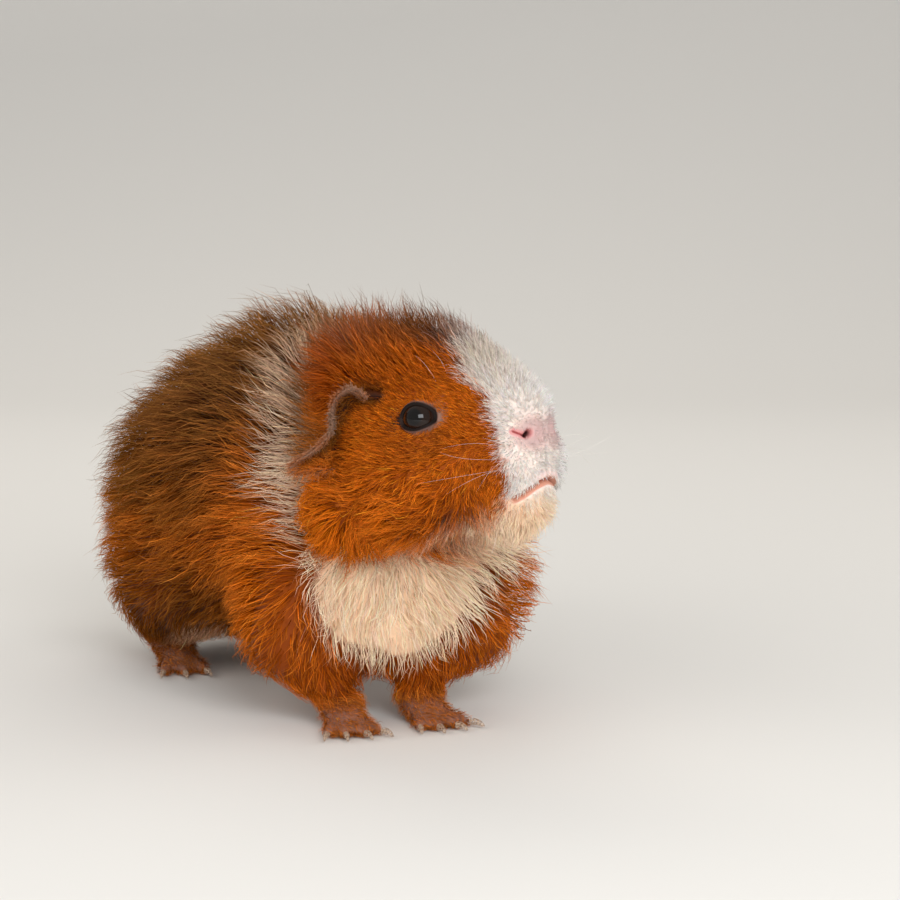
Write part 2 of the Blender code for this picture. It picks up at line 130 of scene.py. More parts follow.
# Places in the head's frame: forward, left and up.
NOSE = (30, 0, -15)
MUZZLE = (27, 0, -20)
NOSTRIL = ((28.9, 6.0, -11.9), (28.3, 7.3, -12.4), (27.2, 8.6, -11.6), (26.0, 9.6, -10.6))
PHILTRUM = ((30.5, 0, -9.5), (30.2, 0, -14), (29, 0, -20), (27.6, 0, -25.4))
MOUTH = ((27.4, 0, -25.9), (27.0, 2.5, -26.2), (26.2, 5.0, -27.1), (24.8, 7.2, -28.4), (22.4, 9.4, -29.8),
         (19.5, 11.4, -30.8))
EAR_RIM = ((-13.5, 20, 8.3), (-16, 23, 11.9), (-20.5, 26, 9.9), (-22.6, 27, 4.7), (-23, 28, 0.5),
           (-28.1, 32, -3.7), (-33.9, 35, -5.7), (-34.5, 33.5, -8.1), (-27.5, 26, -9.6))
EAR_ROOT = ((-13.5, 14, 7.5), (-19, 14, 9), (-22.5, 14, 8), (-25.1, 14, 3.1), (-25.8, 14, -3),
            (-23, 14, -8.5))
WHISKER_ROOTS = ((27.5, 9.5, -15), (25.6, 11.5, -14.5), (23.6, 13, -14), (26.8, 10.5, -18),
                 (24.8, 12.5, -17.8), (22.6, 13.8, -17.5), (25.8, 10.5, -21), (23.6, 12.6, -21),
                 (21.5, 13.6, -20.5), (24, 11.2, -24))


def to_head(points):
    """Points in the head's own frame."""
    return (points - HEAD_PLACE) @ HEAD_AXES.T


def from_head(points):
    return np.asarray(points) @ HEAD_AXES + HEAD_PLACE


def mirrored(place):
    """Places in the head's frame, with those on the right side taken over to the left."""
    return np.stack((place[:, 0], np.abs(place[:, 1]), place[:, 2]), 1)


def headness(points):
    """1 on the head and the ruff behind its jowls, 0 on the neck and trunk."""
    place = to_head(points)
    face = ramp(-7, 7, (place[:, 0] + 32) * 0.91 + place[:, 2] * 0.42)
    return np.maximum(face, ramp(1.14, 0.94, far(mirrored(place), (-32, 17, -21), (18, 16, 16))))


def eye_axes(sign):
    """The eye's frame: outward from the head, along the lids to the front corner, and up."""
    out = unit(np.array((0.30, 0.94 * sign, 0.16)) @ HEAD_AXES)
    along = unit(np.array((0.94, -0.30 * sign, -0.12)) @ HEAD_AXES)
    along = unit(along - out * (along @ out))
    return np.array((out, along, np.cross(out, along) * -sign))


EYE_AXES = {side: eye_axes(sign) for side, sign in SIDES.items()}


# ---- meshes
def read(items, field, width, kind=np.float32):
    """What a mesh keeps in one field of its points, edges or faces, so many numbers to each."""
    flat = np.empty(len(items) * width, kind)
    items.foreach_get(field, flat)
    return flat.reshape(-1, width)


def vertices_of(item):
    return read(item.data.vertices, "co", 3).astype(float) / MM


def normals_of(item):
    return read(item.data.vertex_normals, "vector", 3).astype(float)


def edges_of(item):
    return read(item.data.edges, "vertices", 2, np.int32)


def move_vertices(item, points):
    item.data.vertices.foreach_set("co", (points * MM).astype(np.float32).ravel())
    item.data.update()


def relax(values, edges, rounds, weight=0.5):
    """Even values out between neighbouring vertices; the weight may differ from vertex to vertex."""
    count = len(values)
    ends = np.concatenate((edges, edges[:, ::-1]))
    neighbours = np.maximum(np.bincount(ends[:, 0], minlength=count), 1)[:, None]
    share = np.broadcast_to(np.asarray(weight, float).reshape(-1, 1), (count, 1))
    for _ in range(rounds):
        columns = [np.bincount(ends[:, 0], column[ends[:, 1]], count) for column in values.T]
        values = values + (np.stack(columns, 1) / neighbours - values) * share
    return values


def new_piece(name, data):
    made = bpy.data.objects.new(name, data)
    bpy.context.scene.collection.objects.link(made)
    return made


def mesh_from(bm, name):
    mesh = bpy.data.meshes.new(name)
    bm.to_mesh(mesh)
    bm.free()
    return mesh


def smooth(mesh):
    mesh.polygons.foreach_set("use_smooth", np.ones(len(mesh.polygons), bool))


def remesh(item):
    """Replace an object's mesh by one closed skin of even faces round it."""
    melt = item.modifiers.new("melt", "REMESH")
    melt.mode = "VOXEL"
    melt.voxel_size = VOXEL * MM
    bpy.context.view_layer.update()
    evaluated = item.evaluated_get(bpy.context.evaluated_depsgraph_get())
    mesh = bpy.data.meshes.new_from_object(evaluated)
    item.modifiers.clear()
    item.data = mesh


def refine(item, wanted):
    """Split the faces whose middles are wanted, so that small features have the points they need."""
    bm = bmesh.new()
    bm.from_mesh(item.data)
    bm.faces.ensure_lookup_table()
    middles = np.array([face.calc_center_median() for face in bm.faces]) / MM
    edges = {edge for index in np.flatnonzero(wanted(middles)) for edge in bm.faces[index].edges}
    bmesh.ops.subdivide_edges(bm, edges=list(edges), cuts=1, use_grid_fill=True)
    bmesh.ops.triangulate(bm, faces=[face for face in bm.faces if len(face.verts) > 4])
    bm.to_mesh(item.data)
    bm.free()


def face_tree(item):
    faces = [tuple(face.vertices) for face in item.data.polygons]
    return BVHTree.FromPolygons(vertices_of(item).tolist(), faces)


def nearest(tree, points):
    """The place, normal, face and distance of what lies nearest to each point."""
    return [np.array(part) for part in zip(*[tree.find_nearest(point) for point in points.tolist()])]


def point_tree(points):
    tree = KDTree(len(points))
    for index, point in enumerate(points.tolist()):
        tree.insert(point, index)
    tree.balance()
    return tree


def curve_points(nodes, count):
    """Evenly spread points on a smooth curve through the given ones."""
    nodes = np.asarray(nodes, float)
    nodes = np.vstack((2 * nodes[0] - nodes[1], nodes, 2 * nodes[-1] - nodes[-2]))
    t = np.arange(0, 1, 1 / 24)[:, None]
    fine = []
    for before, start, end, after in zip(nodes, nodes[1:], nodes[2:], nodes[3:]):
        square, cube = 2 * before - 5 * start + 4 * end - after, 3 * start - before - 3 * end + after
        fine.append(0.5 * (2 * start + (end - before) * t + square * t ** 2 + cube * t ** 3))
    fine = np.vstack(fine + [nodes[-2]])
    lengths = np.concatenate(([0], np.cumsum(far(np.diff(fine, axis=0)))))
    wanted = np.linspace(0, lengths[-1], count)
    return np.stack([np.interp(wanted, lengths, column) for column in fine.T], 1)


def curve_distance(place, nodes):
    """The distance from each point to a broken line, and the place along it from 0 to 1."""
    nodes = np.asarray(nodes, float)
    best, along = np.full(len(place), 1e9), np.zeros(len(place))
    for index, (start, end) in enumerate(zip(nodes, nodes[1:])):
        way = end - start
        t = np.clip((place - start) @ way / (way @ way), 0, 1)
        distance = far(place - start, t[:, None] * way)
        closer = distance < best
        best = np.where(closer, distance, best)
        along = np.where(closer, (index + t) / (len(nodes) - 1), along)
    return best, along


# ---- the skin
def in_feet(points):
    return ramp(16, 9, points[:, 2])


def join_flesh():
    """The solids of flesh and the eyes, run together: the outline that the coat reaches."""
    bm = bmesh.new()
    for node in FLESH + ["eye_left", "eye_right"]:
        bm.from_mesh(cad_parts[node].data)
    bmesh.ops.remove_doubles(bm, verts=bm.verts, dist=0.00001)
    bm.normal_update()
    for vert in bm.verts:
        vert.co += vert.normal * 0.25 * MM
    made = new_piece("skin", mesh_from(bm, "skin"))
    remesh(made)
    points = vertices_of(made)
    move_vertices(made, relax(points, edges_of(made), 22, mix(0.5, 0.06, in_feet(points))))
    return made


def coat_depth(points):
    """How deep the skin lies under the coat's outline."""
    place = to_head(points)
    forward, _, up = place.T
    reach = far(place, NOSE)
    head = 1.0 + 1.4 * ramp(6, 22, reach) + 2.4 * ramp(24, 52, reach)
    head += 5.5 * ramp(10, 26, up) * ramp(12, -4, forward)
    head += 3.5 * ramp(-14, -34, up) * ramp(12, -6, forward)
    for side in SIDES:
        head = mix(1.6, head, ramp(8, 15, far(points, EYES[side])))
    height = points[:, 2]
    body = 0.45 + 2.2 * ramp(8, 14, height) + 6 * ramp(16, 36, height) + 5.5 * ramp(34, 66, height)
    return mix(body, head, headness(points))


def shrink_to_skin(item):
    points, edges = vertices_of(item), edges_of(item)
    inward = unit(relax(normals_of(item), edges, 12))
    move_vertices(item, points - inward * relax(coat_depth(points)[:, None], edges, 10))
    remesh(item)
    points = vertices_of(item)
    muzzle = ramp(34, 18, far(to_head(points), NOSE))
    firm = np.maximum(in_feet(points), muzzle * 0.6)
    move_vertices(item, relax(points, edges_of(item), 10, mix(0.5, 0.08, firm)))


def lid_distance(points, side):
    """The distance outside the eye's opening, measured across the eyeball: below 0 inside it."""
    straight = unit((points - EYES[side]) @ EYE_AXES[side].T)
    angle = np.arccos(np.clip(straight[:, 0], -1, 1))
    along, rise = (unit(straight[:, 1:]) * (angle * EYE_RADIUS)[:, None]).T
    half = np.where(along > 0, LID_FRONT, LID_BACK)
    height = np.where(rise > 0, LID_TOP, LID_BOTTOM)
    power = np.where(along > 0, 1.35, 1.75)
    reach = ((np.abs(along) / half) ** power + (np.abs(rise) / height) ** 2) ** (1 / 1.9)
    return (reach - 1) * 3.9 + 0.9 * np.clip(along - half, 0, None)


def form_lids(points):
    """Sink the skin behind the eyeball inside each opening, and raise the lids round it."""
    for side in SIDES:
        offset = points - EYES[side]
        length = far(offset)
        outward = (offset @ EYE_AXES[side][0]) / np.maximum(length, 1e-9)
        near = (length < 15) & (outward > -0.1)
        outside = lid_distance(points[near], side)
        lid = EYE_RADIUS + 0.6 - 0.25 * ramp(0.7, 1.6, outside) + 0.25 * ramp(1.8, 3.0, outside)
        target = np.where(outside < 0, EYE_RADIUS - 1.6 * ramp(0.0, -0.5, outside), lid)
        edge = np.where(outside < -0.12, 1, ramp(-0.12, 0.12, outside))
        target = mix(EYE_RADIUS - 0.4, target, edge)
        weight = ramp(7.5, 2.4, outside) * ramp(-0.1, 0.25, outward[near])
        points[near] = EYES[side] + unit(offset[near]) * mix(length[near], target, weight)[:, None]
    return points


LINES = {}                           # the muzzle's lines and pits as they lie on the skin, once it is made


def lay_lines(tree):
    def on_skin(nodes):
        return to_head(nearest(tree, from_head(nodes))[0])

    for name, nodes in (("slit", NOSTRIL), ("cleft", PHILTRUM), ("lips", MOUTH)):
        LINES[name] = mirrored(on_skin(curve_points(nodes, 14)))
    pits = np.array(WHISKER_ROOTS)
    LINES["pits"] = on_skin(np.concatenate((pits, pits + (1.1, -2.2, -1.0))))


def line_distance(points, name):
    """The distance from each point to one of the muzzle's lines, on either side, and the place along it."""
    place = to_head(points)
    near = far(place, MUZZLE) < 24
    distance, along = np.full(len(points), 99.0), np.zeros(len(points))
    distance[near], along[near] = curve_distance(mirrored(place[near]), LINES[name])
    return distance, along


def whisker_pits(points):
    """1 in the small pits that the whiskers and bristles of the pads grow from."""
    place = mirrored(to_head(points))
    near = far(place, (25, 11, -18)) < 9
    found = np.zeros(len(points))
    found[near] = ramp(0.75, 0.35, far(place[near][:, None], LINES["pits"]).min(1))
    return found


def above_mouth(points):
    """Whether each point lies above the line of the mouth."""
    place = mirrored(to_head(points))
    return place[:, 2] > np.interp(place[:, 1], LINES["lips"][:, 1], LINES["lips"][:, 2])


def nose_distance(place):
    """0 at the middle of the nose's bare leather and 1 at its edge."""
    return far(mirrored(place), (29.6, 4.2, -12.4), (6.5, 4.3, 3.5))


def form_muzzle(item, points):
    """Nostrils, the cleft under the nose, lips and mouth, sunk into or raised from the skin."""
    normals = unit(relax(normals_of(item), edges_of(item), 2))
    slit, along = line_distance(points, "slit")
    size = mix(1.0, 0.35, ramp(0.15, 0.6, along))
    height = -mix(2.8, 0.5, ramp(0.1, 0.6, along)) * ramp(1.25, 0.2, slit / size)
    height += 0.25 * ramp(3.4, 1.5, slit) * ramp(0.9, 1.7, slit)
    cleft, along = line_distance(points, "cleft")
    height -= (0.35 + 0.5 * ramp(0.3, 1.0, along)) * ramp(1.1, 0.1, cleft)
    lips, along = line_distance(points, "lips")
    fade = ramp(1.0, 0.75, along)
    height -= 1.2 * ramp(0.75, 0.1, lips) * fade
    height += np.where(above_mouth(points), 0.8, 0.45) * ramp(0.5, 1.3, lips) * ramp(4.2, 1.6, lips) * fade
    return points + normals * height[:, None]


def make_skin():
    """The skin, the outline that the coat reaches, and the skin's points before muzzle and lids."""
    skin = join_flesh()
    outline = face_tree(skin)
    shrink_to_skin(skin)
    refine(skin, lambda middles: far(to_head(middles), MUZZLE) < 17)
    for side in SIDES:
        refine(skin, lambda middles: far(middles, EYES[side]) < 11)
        refine(skin, lambda middles: np.abs(lid_distance(middles, side)) < 1.6)
    lay_lines(face_tree(skin))
    refine(skin, lambda middles: ((line_distance(middles, "slit")[0] < 2.4)
                                  | (line_distance(middles, "lips")[0] < 1.8)))
    points = vertices_of(skin)
    face = far(to_head(points), (22, 0, -12)) < 32
    plain = relax(points, edges_of(skin), 6, face * 0.4)
    move_vertices(skin, plain)
    move_vertices(skin, form_lids(form_muzzle(skin, plain)))
    return skin, outline, plain


# ---- the ears
EAR_COLUMNS = 72
EAR_ROWS = 16
EAR_THICKNESS = 0.75
EAR_CUP = 2.3


def ear_sheet(side):
    """The ear's middle sheet as a grid of points from root to rim."""
    rim, root = curve_points(EAR_RIM, EAR_COLUMNS), curve_points(EAR_ROOT, EAR_COLUMNS)
    rows = np.linspace(0, 1, EAR_ROWS)[:, None, None]
    bow = np.array((-1, 0.2, 0)) * EAR_CUP * np.sin(math.pi * rows)
    folds = np.sin(np.linspace(0, 21, EAR_COLUMNS))[None, :, None]
    ripple = np.array((0.6, 0.5, 0.2)) * 0.45 * folds * rows ** 2
    return from_head((root + (rim - root) * rows + bow + ripple) * (1, SIDES[side], 1))


def make_ear(side):
    """A thin cupped ear with a rounded rim, closed all round."""
    sheet = ear_sheet(side)
    normal = unit(np.cross(np.gradient(sheet, axis=1), np.gradient(sheet, axis=0)))
    rows = np.linspace(0, 1, EAR_ROWS)[:, None, None]
    thick = EAR_THICKNESS * (1.1 - 0.35 * rows) * np.sqrt(np.clip(1 - rows ** 14, 0.02, 1)) / 2
    loop = np.concatenate((sheet + normal * thick, (sheet - normal * thick)[::-1]))
    grid = np.arange(len(loop) * EAR_COLUMNS).reshape(-1, EAR_COLUMNS)
    after = np.roll(grid, -1, 0)
    faces = np.stack((grid[:, :-1], grid[:, 1:], after[:, 1:], after[:, :-1]), 2).reshape(-1, 4).tolist()
    faces += [grid[:, 0].tolist(), grid[:, -1].tolist()]
    mesh = bpy.data.meshes.new("ear")
    mesh.from_pydata((loop.reshape(-1, 3) * MM).tolist(), [], faces)
    bm = bmesh.new()
    bm.from_mesh(mesh)
    bmesh.ops.recalc_face_normals(bm, faces=bm.faces)
    return mesh_from(bm, "ear")


def add_ears(skin):
    body = bmesh.new()
    body.from_mesh(skin.data)
    for side in SIDES:
        body.from_mesh(make_ear(side))
    body.to_mesh(skin.data)
    body.free()


def ear_share(points):
    """For each point: how far out on an ear it lies, from 0 at the root to 1 at the rim, or -1 off the ears;
    how far down along the ear, from 0 to 1; and the way out to the rim from there."""
    found, down, outward = np.full(len(points), -1.0), np.zeros(len(points)), np.zeros((len(points), 3))
    for side in SIDES:
        sheet = ear_sheet(side)
        ways = unit(np.gradient(sheet, axis=0)).reshape(-1, 3)
        sheet = sheet.reshape(-1, 3)
        tree = point_tree(sheet)
        near = ((points > sheet.min(0) - 1) & (points < sheet.max(0) + 1)).all(1)
        for index in np.flatnonzero(near):
            _, spot, distance = tree.find(points[index].tolist())
            if distance < 0.9:
                row, column = divmod(spot, EAR_COLUMNS)
                found[index], down[index] = row / (EAR_ROWS - 1), column / (EAR_COLUMNS - 1)
                outward[index] = ways[spot]
    return found, down, outward


# ---- markings
GINGER = np.array((0.66, 0.150, 0.006))
DARK_GINGER = np.array((0.33, 0.057, 0.002))
UMBER = np.array((0.150, 0.040, 0.003))
BROWN = np.array((0.115, 0.046, 0.018))
GOLD = np.array((0.80, 0.36, 0.09))
CREAM = np.array((0.99, 0.78, 0.57))
WHITE = np.array((0.88, 0.85, 0.82))
TAUPE = np.array((0.56, 0.39, 0.28))
SMOKE = np.array((0.16, 0.12, 0.11))
BLACK = np.array((0.022, 0.018, 0.017))
PINK = np.array((0.86, 0.43, 0.42))
ROSE = np.array((0.62, 0.13, 0.13))
LID = np.array((0.095, 0.055, 0.045))
LID_CORNER = (0.27, 0.15, 0.11)
LIP, LIP_SEAM = (0.56, 0.26, 0.18), (0.34, 0.10, 0.06)
PIT = (0.70, 0.42, 0.37)
FOOT = (0.26, 0.135, 0.100)

# The white of the blaze and muzzle begins this far forward on the head, at each height.
BLAZE_HEIGHTS = (-44, -36, -30, -19, -9.3, -0.5, 8.4, 15, 22.5, 34)
BLAZE_EDGE = (8, 13, 19, 22.4, 21.6, 19.6, 12.6, 9.6, 7.5, 6)
# The pale collar's middle and half width, across the nape and shoulders, at each height.
COLLAR_HEIGHTS = (40, 56, 68, 82, 96, 110, 125)
COLLAR_MIDDLE = (79, 79.8, 80.5, 81.5, 84, 82, 80)
COLLAR_HALF = (2.5, 3.6, 5.2, 6.4, 8.5, 8, 7)


def paleness(tint):
    return ramp(0.3, 0.6, tint[:, 1])


def white_face(place):
    forward, left, up = place.T
    edge = np.interp(up, BLAZE_HEIGHTS, BLAZE_EDGE) + 2.2 * ramp(0, 14, left)
    wobble = 1.1 * noise(place, 6, 3) + 1.1 * noise(place, 2.2, 4)
    return ramp(-1.1, 1.1, forward - edge + wobble)


def bib(points, wobble):
    """1 on the cream chest: an egg on end, wider above on the left side."""
    across, tall = 26.5, 27
    place = (points - (66, -0.5, 46)) / (20, across, tall)
    rise = tall * np.clip(place[:, 2], 0, None)
    place[:, 1] = (place[:, 1] * across - 0.2 * rise) / (across + 0.8 * rise * (place[:, 1] > 0))
    place[:, 2] *= np.where(place[:, 2] > 0, 0.68, 1)
    return ramp(1.08, 0.92, far(place) + wobble) * ramp(50, 55, points[:, 0])


def head_markings(place, blotch, fine, tuft):
    forward, left, up = place.T
    dusky = mix(mix(BROWN, UMBER, 0.4), TAUPE * 0.34, ramp(-12, -28, forward))
    # the white warmer and darker up the blaze: partly its warm tone, partly painted shade
    muzzle = mix(WHITE * 0.95, WHITE * (0.78, 0.70, 0.62), ramp(-4, 14, up))
    aside = np.where(left < 3, 0.7 * (3 - left), 0.4 * (left - 3))
    throat = ramp(-27, -34, up + 2.5 * fine) * ramp(13.5, 9.5, aside + 1.5 * blotch)
    right_jowl = ramp(12, 3, far(place, (2, -17, -31), (1.1, 1.4, 0.8)))
    under_eye = ramp(9, 3, far(place, (1, -17, -9), (1.5, 1, 0.8)))
    brow, nape = ramp(2, 14, up), ramp(-20, -28, forward) * ramp(-8, 2, up)
    return lay_over(
        mix(GINGER, DARK_GINGER, np.clip(0.18 + 0.24 * blotch + 0.24 * fine + 0.50 * tuft, 0, 1)),
        (DARK_GINGER * 0.8, 0.75 * right_jowl),
        (UMBER * 1.2, 0.4 * under_eye),
        (DARK_GINGER, 0.6 * brow + 0.5 * nape),
        (dusky, 0.92 * ramp(-3.0, 4.0, up - (17.5 - 0.2 * forward) + 1.4 * blotch + 1.0 * fine)),
        (BLACK, 0.92 * ramp(3, 8, left) * ramp(-6, 4, forward + 2 * blotch)),
        (mix(muzzle, CREAM, ramp(-27, -34, up)), white_face(place)),
        (mix(PINK, WHITE, 0.5) * 0.68, 0.9 * ramp(1.9, 0.9, nose_distance(place))),
        (SMOKE * 2.2, 0.75 * ramp(13, 20, up) * ramp(1, 8, forward) * ramp(-9, 0, left + 3 * fine)),
        # painted shade: hair darker umber round the ear's root, in the hollow where the ear meets the head
        (UMBER * 0.45, 0.8 * ramp(5.0, 1.5, curve_distance(mirrored(place), EAR_ROOT)[0])),
        (mix(CREAM, GINGER, 0.10), throat * ramp(-32, -20, forward)))


def markings(points, normals):
    """The colour of the hair that grows at each point of the skin."""
    blotch, fine, tuft = noise(points, 9, 5), noise(points, 3, 6), noise(points, 1.5, 8)
    head = head_markings(to_head(points), blotch, fine, tuft)
    forward, height = points[:, 0], points[:, 2]
    # the rear of the flank darker umber in broad patches, less along mid height: partly the coat's deeper
    # brown, partly painted shade
    flank_shade = np.clip(0.95 - 0.4 * noise(points, 24, 15), 0, 1)
    flank_shade = flank_shade * (1 - 0.5 * ramp(16, 5, np.abs(height - 48 + 5 * blotch)))
    slant = forward * 0.767 + height * 0.642
    middle, half = [np.interp(height, COLLAR_HEIGHTS, line) for line in (COLLAR_MIDDLE, COLLAR_HALF)]
    off_middle = np.abs(slant - middle + 1.8 * blotch + 1.5 * fine)
    collar = ramp(2.8, -2.8, off_middle - half) * ramp(44, 52, height)
    pale = mix(mix(CREAM, TAUPE, 0.15), TAUPE * 0.95, ramp(60, 92, height))
    belly = ramp(-0.80, -0.95, normals[:, 2]) * ramp(34, 22, height) * ramp(60, 45, forward)
    body = lay_over(
        mix(GINGER, DARK_GINGER, np.clip(0.40 + 0.2 * blotch + 0.2 * fine + 0.15 * tuft, 0, 1)),
        (DARK_GINGER * 0.8, 0.25 * ramp(70, 30, height)),
        # the rear flank darker: partly its deeper brown, partly painted shade
        (UMBER * 0.9, ramp(34, -4, forward) * flank_shade),
        # the back darker brown towards its top: partly its own colour, partly painted shade
        (mix(BROWN, UMBER, 0.3) * 0.85, 0.9 * ramp(58, 92, height)),
        (mix(pale, mix(BROWN, TAUPE, 0.35), ramp(96, 108, height)), collar),
        (CREAM, bib(points, 0.07 * blotch + 0.05 * fine)),
        (mix(CREAM, GINGER, 0.45), 0.7 * belly),
        (mix(DARK_GINGER * 1.3, GOLD * 0.5, 0.35), 0.8 * ramp(14, 7, height)))                   # the feet
    return mix(body, head, headness(points))


def tip_colour(points, roots):
    """The colour that each hair ends in."""
    place = to_head(points)
    _, left, up = place.T
    on_head, white = headness(points), white_face(place)
    # painted backlight: golden tips along the top of the back, standing in for light shining through the
    # fringe
    back = ramp(84, 112, points[:, 2]) * (1 - on_head) * ramp(40, 10, points[:, 0])
    return lay_over(
        roots,
        (mix(roots, GOLD, 0.5), mix(0.48, 0.28, on_head) * (1 - paleness(roots))),
        (mix(UMBER * 0.8, SMOKE, 0.35), 0.6 * ramp(11, 21, up) * (1 - white) * on_head),
        (SMOKE * 1.4, 0.6 * white * on_head * ramp(8, 17, up) * ramp(-9, 1, left)),
        # the back's golden fringe: painted backlight
        (GOLD * 0.6, 0.22 * back))


def lid_width(points, side):
    """How far the bare lid reaches round the opening: widest at the front corner."""
    _, along, rise = ((points - EYES[side]) @ EYE_AXES[side].T).T
    return 0.8 + 1.0 * ramp(3.0, 5.2, along) * ramp(2.8, 0.8, rise) + 0.3 * ramp(-3.5, -5.0, along)


def bare_skin(points):
    """Where no hair grows, from 0 to 1: nose, lips and lids."""
    place, above = to_head(points), above_mouth(points)
    lips, along = line_distance(points, "lips")
    bare = np.max((
        0.80 * ramp(1.5, 0.2, nose_distance(place)),
        ramp(1.5, 0.8, line_distance(points, "slit")[0]),
        0.45 * ramp(0.9, 0.5, line_distance(points, "cleft")[0]),
        ramp(1.3, 0.8, lips - 0.45 * ~above) * ramp(1.0, 0.85, along),
        0.5 * ramp(4.2, 2.0, lips) * above * ramp(8, 4, np.abs(place[:, 1])),
        0.45 * whisker_pits(points)), axis=0)
    for side in SIDES:
        near = far(points, EYES[side]) < 14
        outside = lid_distance(points[near], side) - lid_width(points[near], side)
        bare[near] = np.maximum(bare[near], ramp(0.3, -0.3, outside))
    return bare


def skin_colour(points, normals, shares):
    """The skin's colour: the markings, darker under the coat, and the bare places."""
    place = to_head(points)
    slit, along = line_distance(points, "slit")
    lips, _ = line_distance(points, "lips")
    hole = ramp(0.5, 0.2, along)
    face = lay_over(
        mix(PINK, WHITE, 0.32 + 0.4 * ramp(0.4, 1.3, nose_distance(place))) * 0.60,
        # the nostril deep rose, near black in its hole: partly its colour, partly painted shade inside it
        (ROSE, ramp(1.9, 0.7, slit) * 0.55),
        (ROSE * mix(0.5, 0.05, hole)[:, None], ramp(1.0, 0.5, slit / mix(0.4, 0.9, hole))),
        (mix(PINK, WHITE, 0.25) * 0.8, ramp(5, 3, lips)),
        (mix(LIP, LIP_SEAM, ramp(0.5, 0.1, lips)), ramp(1.9, 1.1, lips)),
        (PIT, whisker_pits(points)))
    made = markings(points, normals)
    made = lay_over(
        # the skin under the hair darker, most under ginger hair: partly its pigment, partly painted shade
        # deep between the tufts
        made * mix((0.50, 0.45, 0.45), (0.98, 0.88, 0.83), paleness(made)),
        (FOOT, 0.8 * ramp(9, 5, points[:, 2])),
        (face, bare_skin(points) * ramp(30, 20, far(place, (30, 0, -18)))))
    for side in SIDES:
        near = far(points, EYES[side]) < 14
        outside = lid_distance(points[near], side)
        along = (points[near] - EYES[side]) @ EYE_AXES[side][1]
        lid = lay_over(
            mix(LID * 0.1, LID * 2.1, ramp(0.3, 1.0, outside)),
            (LID_CORNER, ramp(3.4, 5.2, along) * ramp(0.4, 1.3, outside)),
            (LID * 0.4, ramp(-3.2, -4.8, along)))
        made[near] = mix(made[near], lid, ramp(3.0, 1.6, outside))
    ear_back = mix((0.20, 0.085, 0.045), (0.30, 0.180, 0.125), ramp(0.3, 0.8, shares))
    # the ear's inner side, facing forward: partly its brown skin, partly painted shade deepening to near
    # black towards the root
    ear_inside_shade = mix((0.045, 0.014, 0.008), (0.25, 0.145, 0.10), ramp(0.6, 0.92, shares))
    ear = mix(ear_back, ear_inside_shade, ramp(-0.2, 0.3, normals @ FORWARD))
    return mix(made, ear, shares >= 0)


# ---- the coat's plan
RUFF_MIDDLE = np.array((80, -6, 82))


def hair_flow(points):
    """The way that the hair lies at each point, before it is laid along the skin."""
    place = to_head(points)
    forward, left, up = place.T
    side = np.where(left < 0, -1.0, 1.0)
    cheek = unit(place - np.stack((8 + 0 * up, 12 * side, -12 + 0 * up), 1)) + (-0.35, 0, 0)
    away = mix(unit(place - (37, 0, -9)), unit(cheek), ramp(-6, -18, up) * ramp(20, 10, forward))
    away = mix(away, (-0.75, 0, 0.65), 0.7 * (ramp(8, 22, up) * ramp(16, 0, forward)))
    head = unit(away) @ HEAD_AXES
    height = points[:, 2]
    chest = unit(points - (58, 8, 84)) * (0.35, 0.8, 1)
    radial = mix(unit(points - RUFF_MIDDLE), unit(chest), ramp(46, 58, points[:, 0]) * ramp(80, 60, height))
    side = np.clip((points[:, 1] - 3) / 18, -1, 1)
    body = np.stack((-1 + 0 * height, 0.25 * side, -0.30 - 0.55 * ramp(85, 40, height)), 1)
    body = lay_over(
        unit(body),
        (radial, ramp(92, 52, far(points, RUFF_MIDDLE))),
        ((-0.25, 0, -1), ramp(24, 14, height)),
        ((0.9, 0, -0.35), ramp(10, 7, height)))
    return unit(mix(body, head, headness(points)))


